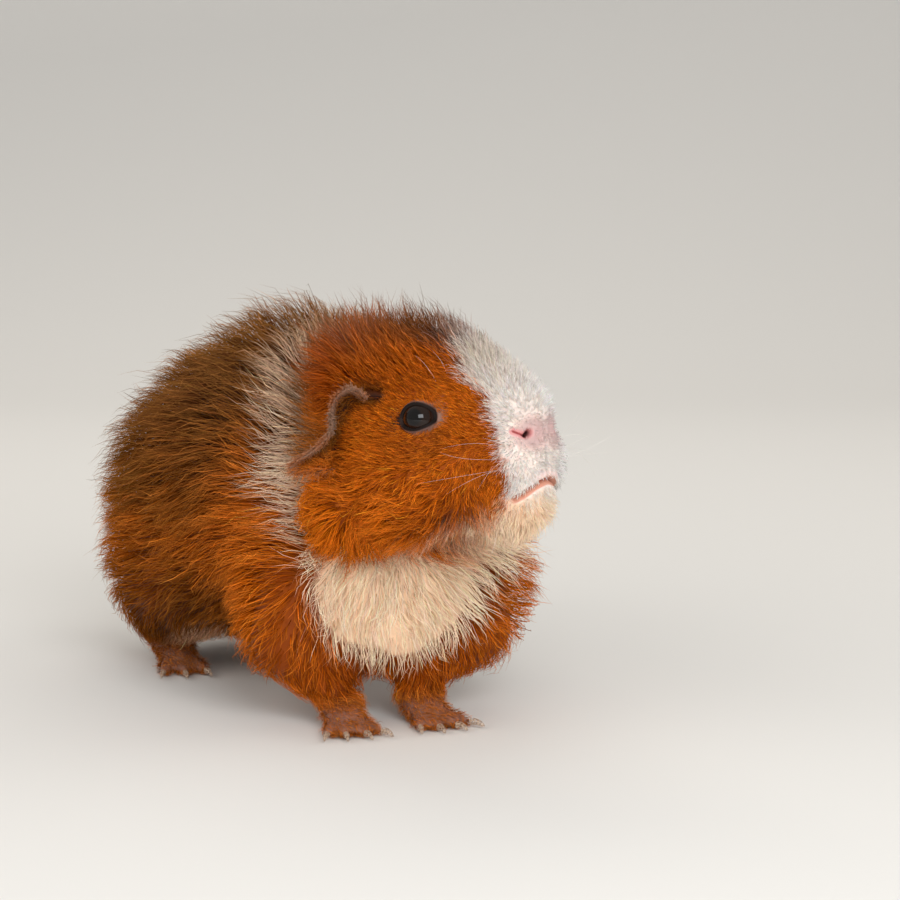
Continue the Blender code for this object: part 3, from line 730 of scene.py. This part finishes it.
def hair_plan(points, shares):
    """What the hair is like at each root. Lift is added to the room under the coat's outline."""
    place = to_head(points)
    forward, _, up = place.T
    on_head, height = headness(points), points[:, 2]
    reach, eye = far(place, NOSE), np.minimum(*[far(points, EYES[side]) for side in SIDES])
    lips, _ = line_distance(points, "lips")
    crown = ramp(9, 22, up) * ramp(14, -2, forward)
    jowl = ramp(-8, -28, up) * ramp(16, -6, forward)
    chin = ramp(-30, -38, up) * ramp(0, 12, forward)
    blaze = ramp(4, 18, up) * ramp(26, 10, forward)
    length = 2.2 + 1.2 * ramp(6, 14, reach) + 1.8 * ramp(14, 30, reach)
    length = length + 5.0 * crown + 6.0 * jowl + 4 * ramp(-14, -30, forward) + 2.5 * chin + 1.8 * blaze
    length *= 0.42 + 0.58 * ramp(6, 14, eye)
    length *= 0.5 + 0.5 * ramp(2, 7, curve_distance(mirrored(place), EAR_ROOT)[0])
    length *= 0.45 + 0.55 * ramp(0.8, 3.5, lips)
    length *= 0.40 + 0.60 * ramp(0.8, 2.0, nose_distance(place))
    body = 4.2 + 8.5 * ramp(7, 14, height) * ramp(30, 20, height)
    body += 5.3 * ramp(6, 15, height) * ramp(20, 30, height)
    length = mix(body + 5.5 * ramp(18, 36, height) + 8.5 * ramp(34, 70, height), length, on_head)
    lift = 2.2 * ramp(26, 16, reach) * ramp(2, 5, lips) * ramp(4, 10, far(place, (30, 0, -12)))
    lift += 1.5 * chin * on_head + 1.2 * crown * on_head + 0.7 * ramp(14, 9, height)
    lift += 1.6 * (1 - on_head) * ramp(30, 50, points[:, 0]) * ramp(24, 40, height)
    rise = 0.28 + 0.55 * crown + 0.18 * blaze + 0.12 * jowl + 0.15 * ramp(26, 16, reach)
    density = mix(0.80 + 3.5 * ramp(16, 8, height), 2.6 + 5.5 * ramp(9, 2.5, length), on_head)
    under = ramp(-6, -14, points[:, 0]) * ramp(22, 14, height) * ramp(30, 18, np.abs(points[:, 1]))
    density = density * (1 - 0.5 * under) * (1 - bare_skin(points))
    return {
        "length": length,
        "lift": lift,
        "upright": mix(0.24, rise * (0.4 + 0.6 * ramp(7, 14, eye)), on_head),
        "curl": mix(1.9, 0.55 + 0.9 * jowl + 0.4 * crown, on_head) * ramp(1, 10, length),
        "wave": mix(19, 9 + 5 * jowl + 4 * crown, on_head),
        "clump": mix(0.46, 0.34 + 0.14 * jowl + 0.06 * crown, on_head),
        "width": 0.13 + 0.06 * ramp(3, 9, length) + 0.05 * ramp(9, 20, length),
        "density": np.where(shares >= 0, 0, density),
    }


# ---- the skin as a surface to grow on
def unwrap(item):
    """Lay the skin's own shape out flat, as the map that skin and coat share."""
    item.data.uv_layers.new(name="OFBake").active = True
    bpy.context.view_layer.objects.active = item
    item.select_set(True)
    bpy.ops.object.mode_set(mode="EDIT")
    bpy.ops.mesh.select_all(action="SELECT")
    bpy.ops.uv.smart_project(angle_limit=math.radians(75), island_margin=0.002)
    bpy.ops.object.mode_set(mode="OBJECT")
    item.select_set(False)


class Surface:
    """The skin's triangles, with what the hair needs to know at each of their corners."""

    def __init__(self, item, outline, plain):
        mesh = item.data
        mesh.calc_loop_triangles()
        self.corners = read(mesh.loop_triangles, "vertices", 3, np.int32)
        loops = read(mesh.loop_triangles, "loops", 3, np.int32)
        self.map = read(mesh.uv_layers["OFBake"].data, "uv", 2).astype(float)[loops]
        self.points = vertices_of(item)
        self.plain = np.concatenate((plain, self.points[len(plain):]))
        self.shares, self.ear_down, self.ear_ways = ear_share(self.points)
        edges = edges_of(item)
        self.bumpy = normals_of(item)
        normals = unit(relax(self.bumpy, edges, 14, np.where(self.shares < 0, 0.5, 0)))
        room = relax(nearest(outline, self.points)[3][:, None], edges, 6)[:, 0]
        room[self.shares >= 0] = 0.5
        first, second, third = self.points[self.corners].transpose(1, 0, 2)
        self.areas = far(np.cross(second - first, third - first)) / 2
        self.middles = self.at_faces(self.plain)
        self.face_normals = unit(self.at_faces(normals))
        self.face_room = self.at_faces(room)
        self.face_shares = self.shares[self.corners].max(1)
        self.ground = np.flatnonzero(self.face_shares < 0)
        self.tree = BVHTree.FromPolygons(self.points.tolist(), self.corners[self.ground].tolist())

    def at_faces(self, values):
        return values[self.corners].mean(1)

    def scatter(self, density, rng):
        """Roots, so many to a square millimetre: their points, triangles and places on the map."""
        wanted = self.areas * density
        count = rng.poisson(wanted.sum())
        faces = rng.choice(len(wanted), count, p=wanted / wanted.sum())
        share = rng.random((count, 2))
        over = share.sum(1) > 1
        share[over] = 1 - share[over]
        weights = np.column_stack((1 - share.sum(1), share))[..., None]
        points = (self.points[self.corners[faces]] * weights).sum(1)
        return points, faces, (self.map[faces] * weights).sum(1)

    def nearest(self, points):
        places, _, found, _ = nearest(self.tree, points)
        return places, self.ground[found]


# ---- locks
STEPS = 6


def lay_guides(surface, points, faces, rng):
    """The line of each lock: it follows the skin the way the hair lies, and rises to the coat's outline."""
    plan = hair_plan(points, surface.face_shares[faces])
    count, on_head = len(points), headness(points)
    length = plan["length"] * rng.uniform(0.78, 1.15, count)
    upright = np.clip(plan["upright"] + rng.normal(0, 0.07, count), 0, 1)
    height = np.maximum(surface.face_room[faces], 0.7) * rng.uniform(0.82, 1.12, count)
    height = height + plan["lift"] * rng.uniform(0.5, 1.2, count)
    height = np.minimum(height, length * mix(0.72, 0.95, upright))
    travel = np.sqrt(np.maximum(length ** 2 - height ** 2, (0.25 * length) ** 2)) * (1 - 0.72 * upright)
    swirl = 0.65 * noise(points, 18, 11) + 0.42 * noise(points, 6, 12) + rng.normal(0, 0.2, count)
    swirl += 0.30 * noise(points, 2.8, 14) * on_head
    swirl *= mix(0.9, 0.9 + 0.8 * ramp(-8, -26, to_head(points)[:, 2]), on_head)
    spot, normal = points.copy(), surface.face_normals[faces]
    phase = rng.uniform(0, 2 * math.pi, count)
    path = [points - normal * 0.4]
    for step in range(1, STEPS + 1):
        flow = hair_flow(spot)
        flow = flow + np.cross(normal, flow) * np.tan(np.clip(swirl, -1.1, 1.1))[:, None]
        tangent = unit(flow - normal * (flow * normal).sum(1)[:, None])
        spot, found = surface.nearest(spot + tangent * (travel / STEPS)[:, None])
        normal = surface.face_normals[found]
        share = step / STEPS
        rise = 1 - (1 - share) ** mix(1.75, 1.1, upright)
        target = np.minimum(height, np.maximum(surface.face_room[found] * 1.1 + plan["lift"], height * 0.45))
        turn = phase + 2 * math.pi * share * length / plan["wave"]
        wave = np.cross(normal, tangent) * np.sin(turn)[:, None] + normal * 0.5 * np.cos(turn)[:, None]
        path.append(spot + normal * (target * rise)[:, None] + wave * (plan["curl"] * share)[:, None])
    return np.stack(path, 1), length


def grow(surface, guides, guide_length, guide_tree, points, faces, segments, rng):
    """Hairs in locks: each follows the three guides nearest its root, and leans to the nearest."""
    count = len(points)
    plan = hair_plan(points, surface.face_shares[faces])
    found = np.array([[hit[1:] for hit in guide_tree.find_n(point, 3)] for point in points.tolist()])
    index = found[..., 0].astype(int)
    weight = 1 / (found[..., 1] + 0.3) ** 2
    weight /= weight.sum(1, keepdims=True)
    length = plan["length"] * rng.uniform(0.72, 1.12, count)
    stands = ramp(0.5, 0.8, plan["upright"])
    stray = rng.random(count) < 0.08 + 0.22 * stands
    length = np.where(stray, length * mix(1.1, 1.35, stands), length)
    shares = np.linspace(0, 1, segments + 1)
    low = np.minimum((shares * STEPS).astype(int), STEPS - 1)
    part = (shares * STEPS - low)[:, None]

    def along(lines):
        return lines[:, low] * (1 - part) + lines[:, low + 1] * part

    lines = guides[index]
    moves = ((lines - lines[:, :, :1]) * weight[:, :, None, None]).sum(1)
    scale = length / (guide_length[index] * weight).sum(1)
    path = points[:, None] - surface.face_normals[faces][:, None] * 0.35 + along(moves) * scale[:, None, None]
    pull = np.where(stray, 0, np.clip(plan["clump"] + rng.normal(0, 0.1, count), 0, 0.92))
    path += (along(guides[index[:, 0]]) - path) * (pull[:, None] * shares ** 1.25)[..., None]
    loose = mix(0.06, 0.14, ramp(11, 4, length))
    free = np.maximum(loose, np.where(stray, 0.08, 0))
    frizz = rng.normal(0, 1, (count, 3)) * free[:, None] * length[:, None]
    bend = rng.normal(0, 1, (count, 3)) * loose[:, None] * 0.8 * length[:, None]
    path += frizz[:, None] * shares[:, None] ** 1.3 + bend[:, None] * np.sin(math.pi * shares)[:, None]
    path[:, :, 2] = np.maximum(path[:, :, 2], 0.35 + 0.4 * rng.random(count)[:, None])
    return path, plan["width"] * rng.uniform(0.65, 1.25, count)


def paint(mesh, tint):
    """Keep a colour at every vertex, for the material to read."""
    full = np.ones((len(tint), 4), np.float32)
    full[:, :3] = np.clip(tint, 0, 1)
    mesh.color_attributes.new("tint", "FLOAT_COLOR", "POINT").data.foreach_set("color", full.ravel())


def spikes(name, path, width, side, base, tip, places):
    """Closed three-sided hairs that taper to a point, joined into one piece with their colours and map."""
    count, rings = len(path), path.shape[1] - 1
    along = np.gradient(path, axis=1)
    across = unit(np.cross(along, side[:, None]))
    over = unit(np.cross(across, along))
    shares = np.linspace(0, 1, rings + 1)
    thick = np.interp(shares[:rings], (0, 0.3, 0.75, 1), (0.75, 1.0, 0.72, 0.2))
    corners = []
    for corner in range(3):
        angle = 2 * math.pi * corner / 3 + math.pi / 2
        offset = across[:, :rings] * math.cos(angle) + over[:, :rings] * math.sin(angle) * 0.55
        corners.append(path[:, :rings] + offset * (width[:, None] * thick / 2)[..., None])
    points = np.concatenate((np.stack(corners, 2).reshape(count, rings * 3, 3), path[:, -1:]), 1)
    faces, marks = [], []
    for ring in range(rings):
        for corner in range(3):
            here, after = ring * 3 + corner, ring * 3 + (corner + 1) % 3
            if ring < rings - 1:
                faces.append((here, after, after + 3, here + 3))
                marks.append(((corner, ring), (corner + 1, ring), (corner + 1, ring + 1), (corner, ring + 1)))
            else:
                faces.append((here, after, rings * 3))
                marks.append(((corner, ring), (corner + 1, ring), (corner + 0.5, rings)))
    faces.append((2, 1, 0))
    marks.append(((2, 0), (1, 0), (0, 0)))
    one = np.array([vertex for face in faces for vertex in face])
    mark = np.array([spot for face in marks for spot in face], float) / (3, rings)
    mesh = bpy.data.meshes.new(name)
    mesh.vertices.add(count * (rings * 3 + 1))
    mesh.vertices.foreach_set("co", (points * MM).astype(np.float32).ravel())
    loops = (np.arange(count)[:, None] * (rings * 3 + 1) + one).astype(np.int32).ravel()
    mesh.loops.add(len(loops))
    mesh.loops.foreach_set("vertex_index", loops)
    totals = np.tile([len(face) for face in faces], count)
    mesh.polygons.add(len(totals))
    mesh.polygons.foreach_set("loop_start", (np.cumsum(totals) - totals).astype(np.int32))
    smooth(mesh)
    spots = np.clip(places[:, None] + (mark - 0.5) * PATCH, 0, 1)
    mesh.uv_layers.new(name="OFBake").data.foreach_set("uv", spots.astype(np.float32).ravel())
    fade = np.append(np.repeat(shares[:rings], 3), 1)[None, :, None]
    # each hair darker towards its root, pale hair less so: partly its own colour, partly painted shade deep
    # in the coat
    deep = mix(0.50, 0.93, paleness(base))[:, None, None]
    shade = base[:, None] * (deep + (1 - deep) * np.minimum(fade * 2.2, 1))
    paint(mesh, (shade + (tip[:, None] - shade) * np.clip(fade * 1.5 - 0.5, 0, 1)).reshape(-1, 3))
    mesh.update(calc_edges=True)
    return mesh


def region_of(points):
    """The name of the coat piece that each hair belongs to."""
    forward, left, up = to_head(points).T
    on_head = headness(points) > 0.5
    names = np.where(left < 0, "cheek_right", "cheek_left").astype(object)
    names[up > 8] = "crown"
    names[forward > 9] = "muzzle"
    names[~on_head & (points[:, 1] < 2)] = "flank_right"
    names[~on_head & (points[:, 1] >= 2)] = "flank_left"
    names[~on_head & (points[:, 0] < -66)] = "rump"
    names[~on_head & (points[:, 0] > 34)] = "chest"
    names[~on_head & (points[:, 2] < 26)] = "belly_and_legs"
    return names


def grow_coat(surface):
    """The coat's meshes: long and short hairs apart, by region, each with few enough triangles."""
    rng = np.random.default_rng(20)
    plan = hair_plan(surface.middles, surface.face_shares)
    segments = np.where(plan["length"] < SHORT_HAIR, 2, 3)
    density = plan["density"] * TRIANGLES / (surface.areas * plan["density"] * (6 * segments - 2)).sum()
    locks = np.interp(plan["length"], (1.5, 4, 9, 22), (0.45, 0.26, 0.16, 0.11))
    roots, faces, _ = surface.scatter(density * locks, rng)
    guides, guide_length = lay_guides(surface, roots, faces, rng)
    tree = point_tree(roots)
    meshes = []
    for number in (2, 3):
        points, faces, places = surface.scatter(np.where(segments == number, density, 0), rng)
        path, width = grow(surface, guides, guide_length, tree, points, faces, number, rng)
        normals = surface.face_normals[faces]
        spots = points + rng.normal(0, 0.8, points.shape)
        base = markings(spots, normals)
        tip = tip_colour(spots, base)
        vary = np.exp(rng.normal(0, 1, len(points)) * mix(0.36, 0.10, paleness(base)))[:, None]
        vary = vary * np.exp(rng.normal(0, 0.04, (len(points), 3)))
        base, tip = base * vary, tip * vary
        regions = region_of(points)
        most = PIECE_TRIANGLES // (6 * number - 2)
        for region in sorted(set(regions)):
            chosen = np.flatnonzero(regions == region)
            for part, start in enumerate(range(0, len(chosen), most)):
                own = chosen[start:start + most]
                name = f"coat_{region}_{number}{'abcdefgh'[part]}"
                parts = [values[own] for values in (path, width, normals, base, tip, places)]
                meshes.append(spikes(name, *parts))
    return meshes


def grow_ear_hair(surface, side):
    """Tufts that fill the ear's inner side and its lower end, and a fine down on its back and rim."""
    rng = np.random.default_rng(31)
    share, down = surface.face_shares, surface.at_faces(surface.ear_down)
    inner = (surface.at_faces(surface.bumpy) @ FORWARD) > 0
    own = (share >= 0) & ((to_head(surface.middles)[:, 1] < 0) == (side == "right"))
    density = np.where(own, np.where(inner, 5.5, 8.0) * ramp(0.15, 0.3, share), 0)
    points, faces, places = surface.scatter(density, rng)
    count = len(points)
    share, inner, low = share[faces], inner[faces], ramp(0.62, 0.85, down[faces])
    outward = unit(surface.at_faces(surface.ear_ways)[faces])
    normal = unit(surface.at_faces(surface.bumpy)[faces])
    tuft = inner * ramp(0.80, 0.55, share - 0.35 * low)
    length = mix(1.6 + 1.2 * ramp(0.6, 1.0, share) * ~inner, 4.0 + 2.5 * low, tuft)
    length = length * rng.uniform(0.7, 1.25, count)
    way = unit(outward + normal * 0.45 + rng.normal(0, 0.30, (count, 3)))
    bend = rng.normal(0, 0.18, (count, 3)) - normal * 0.15
    steps = np.linspace(0, 1, 3)
    path = points[:, None] - normal[:, None] * 0.15 + way[:, None] * (length[:, None] * steps)[..., None]
    path = path + bend[:, None] * (length[:, None] * steps ** 2)[..., None]
    fuzz = mix(TAUPE * 0.62, GINGER * 0.7, 0.35 + 0.35 * noise(points, 4, 9))
    # the tufts inside the ear darker ginger brown: partly their colour, partly painted shade in the hollow
    base = mix(UMBER * 0.4, GINGER * 0.7, 0.30 + 0.4 * noise(points, 2.5, 7))
    base = mix(fuzz, mix(base, mix(GINGER, DARK_GINGER, 0.3), low), tuft)
    base = base * np.exp(rng.normal(0, 0.22, count))[:, None]
    tip = mix(base, mix(base, GOLD, 0.3), tuft)
    return spikes("coat_ear_" + side, path, mix(0.17, 0.19, tuft), normal, base, tip, places)


# ---- materials
def set_inputs(tree, node, **inputs):
    """Give a node's inputs their values, or link other nodes' outputs to them."""
    for name, value in inputs.items():
        socket = node.inputs[name.replace("_", " ")]
        if isinstance(value, bpy.types.NodeSocket):
            tree.links.new(value, socket)
        else:
            socket.default_value = value


def add_node(tree, kind, **inputs):
    made = tree.nodes.new("ShaderNode" + kind)
    set_inputs(tree, made, **inputs)
    return made


def new_material(name, **inputs):
    made = bpy.data.materials.new(name)
    made.use_nodes = True
    shader = made.node_tree.nodes["Principled BSDF"]
    set_inputs(made.node_tree, shader, **inputs)
    return made, made.node_tree, shader


def painted(name, grain, strength, **inputs):
    """A surface whose colour is the one painted on its vertices, with a fine natural variation."""
    made, tree, shader = new_material(name, **inputs)
    tint = add_node(tree, "Attribute")
    tint.attribute_name = "tint"
    spot = add_node(tree, "TexCoord").outputs["Object"]
    speckle = add_node(tree, "TexNoise", Vector=spot, Scale=grain, Detail=3)
    shade = add_node(tree, "MapRange", Value=speckle.outputs["Fac"], To_Min=1 - strength, To_Max=1 + strength)
    blend = add_node(tree, "VectorMath")
    blend.operation = "SCALE"
    set_inputs(tree, blend, Vector=tint.outputs["Color"], Scale=shade.outputs["Result"])
    set_inputs(tree, shader, Base_Color=blend.outputs["Vector"])
    return made


def add_bump(made, texture, output, scale, strength, distance):
    """Roughen a material with one of Blender's textures, laid on in the object's own place."""
    tree = made.node_tree
    grain = add_node(tree, texture, Vector=add_node(tree, "TexCoord").outputs["Object"], Scale=scale)
    bump = add_node(tree, "Bump", Strength=strength, Distance=distance, Height=grain.outputs[output])
    set_inputs(tree, tree.nodes["Principled BSDF"], Normal=bump.outputs["Normal"])
    return grain


def skin_material():
    made = painted("skin", 700, 0.12, Roughness=0.5, Specular_IOR_Level=0.12, Subsurface_Weight=0.12,
                   Subsurface_Scale=0.0015, Subsurface_Radius=(1.0, 0.4, 0.25))
    add_bump(made, "TexVoronoi", "Distance", 1400, 0.25, 0.0002)
    return made


def horn_material():
    made, tree, shader = new_material("horn", Roughness=0.32)
    grain = add_bump(made, "TexNoise", "Fac", 420, 0.3, 0.0001)
    set_inputs(tree, grain, Detail=4)
    tones = add_node(tree, "ValToRGB", Fac=grain.outputs["Fac"])
    tones.color_ramp.elements[0].color = (0.20, 0.12, 0.08, 1)
    tones.color_ramp.elements[1].color = (0.62, 0.48, 0.36, 1)
    set_inputs(tree, shader, Base_Color=tones.outputs["Color"])
    return made


# ---- eyes, whiskers and claws
def make_eyeball(side):
    """A globe with its clear front raised: dark brown round a wide black pupil."""
    bm = bmesh.new()
    bmesh.ops.create_uvsphere(bm, u_segments=64, v_segments=40, radius=1)
    ball = np.array([vert.co for vert in bm.verts])
    angle = np.arccos(np.clip(ball[:, 2], -1, 1))
    ball = ball * (EYE_RADIUS - 0.12 + 0.38 * ramp(0.85, 0.1, angle))[:, None]
    for vert, point in zip(bm.verts, ball @ np.roll(EYE_AXES[side], -1, axis=0) + EYES[side]):
        vert.co = point * MM
    bmesh.ops.recalc_face_normals(bm, faces=bm.faces)
    mesh = mesh_from(bm, "eyeball_" + side)
    streak = 0.25 * noise(np.stack((np.arctan2(ball[:, 0], ball[:, 1]) * 9, angle * 2, 0 * angle), 1), 1, 2)
    iris = mix((0.016, 0.007, 0.004), (0.008, 0.004, 0.003), 0.5 + streak)
    tint = mix((0.003, 0.0025, 0.0025), iris, ramp(0.42, 0.50, angle))
    paint(mesh, mix(tint, (0.020, 0.012, 0.010), ramp(0.95, 1.15, angle)))
    smooth(mesh)
    return new_piece("eyeball_" + side, mesh)


def make_whiskers(surface, rng):
    """Fine pale whiskers from the pads, curling a little, and a few over the eyes and on the chin."""
    roots, ways, lengths = [], [], []
    for sign in SIDES.values():
        for number, (forward, left, up) in enumerate(WHISKER_ROOTS):
            roots.append((forward, left * sign, up))
            ways.append((0.35 - 0.12 * (number % 3), sign, 0.25 - 0.12 * (number // 3)))
            lengths.append(16 + 9 * (number % 3) * rng.uniform(0.7, 1.1))
        roots += [(8, 10 * sign, 9), (5, 12 * sign, 8), (14, 4 * sign, -36), (9, 6 * sign, -37)]
        ways += [(0.5, 0.4 * sign, 1), (0.2, 0.6 * sign, 1), (0.5, 0.3 * sign, -1), (0.2, 0.5 * sign, -1)]
        lengths += [11, 13, 8, 9]
    roots, _ = surface.nearest(from_head(roots))
    count, length = len(roots), np.array(lengths)
    ways = unit(np.array(ways) + rng.normal(0, 0.14, (count, 3))) @ HEAD_AXES
    shares = np.linspace(0, 1, 15)
    curl = unit(np.cross(ways, rng.normal(0, 1, (count, 3))))
    bend = curl * (length * rng.uniform(0.12, 0.34, count))[:, None]
    path = roots[:, None] + ways[:, None] * (length[:, None] * (shares - 0.12 * shares ** 2))[..., None]
    path = path + bend[:, None] * (shares ** 2)[:, None]
    path[:, :, 2] -= 0.10 * length[:, None] * shares ** 2
    base = np.tile(WHITE * (0.95, 0.92, 0.9), (count, 1))
    places = surface.map[surface.nearest(roots)[1]].mean(1)
    return spikes("whiskers", path, np.full(count, 0.085), np.cross(ways, curl), base, base, places)


def wear(item, material):
    item.data.materials.clear()
    item.data.materials.append(material)


def dress(item, material):
    wear(item, material)
    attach(item, "root")


def dress_claws():
    horn = horn_material()
    for name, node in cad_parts.items():
        if "_claw_" in name:
            rounded = node.modifiers.new("rounded", "SUBSURF")
            rounded.levels = rounded.render_levels = 2
            wear(node, horn)


def build():
    skin, outline, plain = make_skin()
    add_ears(skin)
    unwrap(skin)
    surface = Surface(skin, outline, plain)
    paint(skin.data, skin_colour(surface.plain, surface.bumpy, surface.shares))
    smooth(skin.data)
    dress(skin, skin_material())
    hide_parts(*FLESH, "ear_left", "ear_right")
    fur = painted("fur", 2200, 0.10, Roughness=0.7, Specular_IOR_Level=0.0)
    for mesh in grow_coat(surface) + [grow_ear_hair(surface, side) for side in SIDES]:
        dress(new_piece(mesh.name, mesh), fur)
    whiskers = make_whiskers(surface, np.random.default_rng(5))
    dress(new_piece("whiskers", whiskers), painted("whisker", 900, 0.08, Roughness=0.4))
    eye = painted("eye", 500, 0.15, Roughness=0.03, Specular_IOR_Level=0.3)
    for side in SIDES:
        ball = make_eyeball(side)
        dress(ball, eye)
        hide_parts("eye_" + side)
    dress_claws()


# ---- floor, light and camera, in metres
AZIMUTH, ELEVATION = math.radians(-22), math.radians(7.7)
TOWARDS_CAMERA = Vector((math.cos(AZIMUTH), math.sin(AZIMUTH), 0))
FLOOR_FRONT, FLOOR_BACK, FLOOR_HALF = 1.6, -0.75, 3.5
WALL_CURVE, WALL_TOP = 0.9, 3.0


def aim(name, data, place, way):
    """A lamp or a camera in its place, looking along a way."""
    made = new_piece(name, data)
    made.location = place
    made.rotation_mode = "QUATERNION"
    made.rotation_quaternion = way.to_track_quat("-Z", "Y")
    return made


def make_camera():
    data = bpy.data.cameras.new("camera")
    data.lens = 120
    data.sensor_width = 36
    back = TOWARDS_CAMERA * math.cos(ELEVATION) + Vector((0, 0, math.sin(ELEVATION)))
    bpy.context.scene.camera = aim("camera", data, (0.87, -0.30843, 0.20034), -back)


def make_floor():
    """A pale floor that curves up behind into a pale wall."""
    line = [(FLOOR_FRONT, 0.0), (FLOOR_BACK, 0.0)]
    for step in range(1, 25):
        turn = math.radians(90 * step / 24)
        line.append((FLOOR_BACK - WALL_CURVE * math.sin(turn), WALL_CURVE - WALL_CURVE * math.cos(turn)))
    line.append((FLOOR_BACK - WALL_CURVE, WALL_TOP))
    across = Vector((-TOWARDS_CAMERA.y, TOWARDS_CAMERA.x, 0))
    points, faces = [], []
    for index, (reach, height) in enumerate(line):
        for side in (-FLOOR_HALF, FLOOR_HALF):
            points.append(TOWARDS_CAMERA * reach + across * side + Vector((0, 0, height)))
        if index:
            faces.append((2 * index - 2, 2 * index - 1, 2 * index + 1, 2 * index))
    mesh = bpy.data.meshes.new("floor")
    mesh.from_pydata(points, [], faces)
    smooth(mesh)
    pale = (0.74, 0.725, 0.70, 1)
    made, _, _ = new_material("floor", Roughness=0.9, Specular_IOR_Level=0.3, Base_Color=pale)
    mesh.materials.append(made)
    new_piece("floor", mesh)


def make_light(name, place, target, size, power, tint):
    data = bpy.data.lights.new(name, "AREA")
    data.shape = "RECTANGLE"
    data.size, data.size_y = size
    data.energy = power
    data.color = tint
    light = aim(name, data, place, Vector(target) - Vector(place))
    light.visible_glossy = name == "key"     # so that one window shines in the eye


build()
make_camera()
make_floor()
make_light("key", (0.98, -0.10, 0.52), (0.05, 0, 0.07), (0.58, 0.46), 7.2, (0.95, 0.98, 1))
make_light("fill", (0.40, -1.15, 0.50), (0.02, 0, 0.06), (1.6, 1.2), 8.0, (1, 0.97, 0.93))
make_light("bounce", (0.90, -0.32, 0.03), (0.08, 0, 0.06), (0.9, 0.14), 2.6, (1, 0.95, 0.88))
make_light("rim", (0.20, 1.05, 0.45), (0.09, 0.02, 0.08), (0.6, 0.6), 2.6, (1, 0.98, 0.95))
make_light("back", (-0.70, 0.10, 0.80), (0, 0, 0.08), (0.9, 0.5), 3.0, (1, 0.95, 0.88))
world = bpy.data.worlds.new("world")
bpy.context.scene.world = world
world.use_nodes = True
world.node_tree.nodes["Background"].inputs["Color"].default_value = (1, 0.98, 0.95, 1)
world.node_tree.nodes["Background"].inputs["Strength"].default_value = 0.5
bpy.context.scene.view_settings.view_transform = "Standard"
